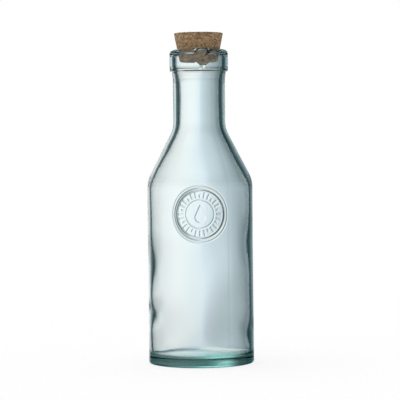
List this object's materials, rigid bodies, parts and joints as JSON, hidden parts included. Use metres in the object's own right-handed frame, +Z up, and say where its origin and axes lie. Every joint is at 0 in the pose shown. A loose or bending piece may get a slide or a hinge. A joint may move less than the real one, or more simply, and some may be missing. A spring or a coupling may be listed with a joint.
{
  "type": "glass bottle with cork stopper",
  "caption": "Thick-walled pale green glass bottle with sloping shoulders, a collar with a pouring lip, a raised round seal and a tapered cork stopper.",
  "frame": {"origin": "on the bottle's axis, at the level it stands on", "axes": "+Z up along the bottle's axis, -Y the side with the raised seal, +X to the right as the seal is seen"},
  "size_m": [0.09, 0.0911, 0.2813],
  "materials": {
    "glass": "clear recycled glass with a blue-green tint, smooth and slightly wavy",
    "cork": "fine agglomerated cork, matt"
  },
  "bodies": {
    "root": {"glass_bottle": "glass", "cork_stopper": "cork"}
  },
  "joints": []
}
